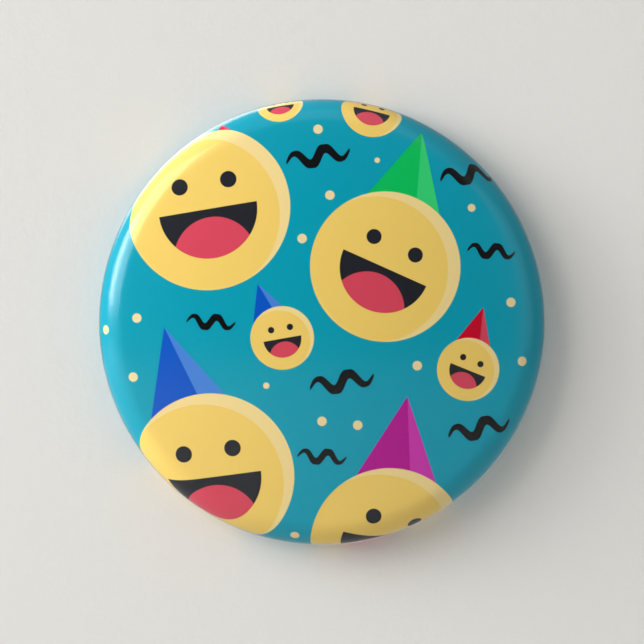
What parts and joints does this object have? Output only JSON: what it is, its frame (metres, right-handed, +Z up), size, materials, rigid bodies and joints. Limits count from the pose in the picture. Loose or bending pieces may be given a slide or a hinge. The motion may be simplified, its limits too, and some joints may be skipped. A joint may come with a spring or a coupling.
{
  "type": "button badge",
  "caption": "Round domed pin-back button badge: a printed disc under clear film on a steel shell, with a pressed back plate and a swinging spring-wire pin.",
  "frame": {"origin": "centre of the plane that the back of the rim lies in, where the cloth starts", "axes": "+Z up on the artwork, -Y out of the face, +X to the right seen from the front"},
  "size_m": [0.0572, 0.0081, 0.0572],
  "materials": {
    "film": "clear gloss",
    "print": "coated print",
    "tinplate": "bright tinned",
    "spring_wire": "polished nickel"
  },
  "bodies": {
    "badge": {"clear_film": "film", "printed_disc": "print", "front_shell": "tinplate", "back_plate": "tinplate", "needle_catch": "tinplate", "pin_tail": "spring_wire"},
    "axle": {"pin_axle": "spring_wire"},
    "needle": {"pin_needle": "spring_wire"}
  },
  "joints": [
    {"name": "pin_swing", "type": "hinge", "parent": "badge", "child": "axle", "pos_m": [-0.017, -0.00128, 0], "axis": [0, 0, 1], "range_deg": [0, 50]},
    {"name": "needle_flex", "type": "hinge", "parent": "axle", "child": "needle", "pos_m": [-0.017, -0.00128, 0.0044], "axis": [0, -1, 0], "range_deg": [0, 2.25], "stiffness_Nm_per_rad": 0.45}
  ]
}
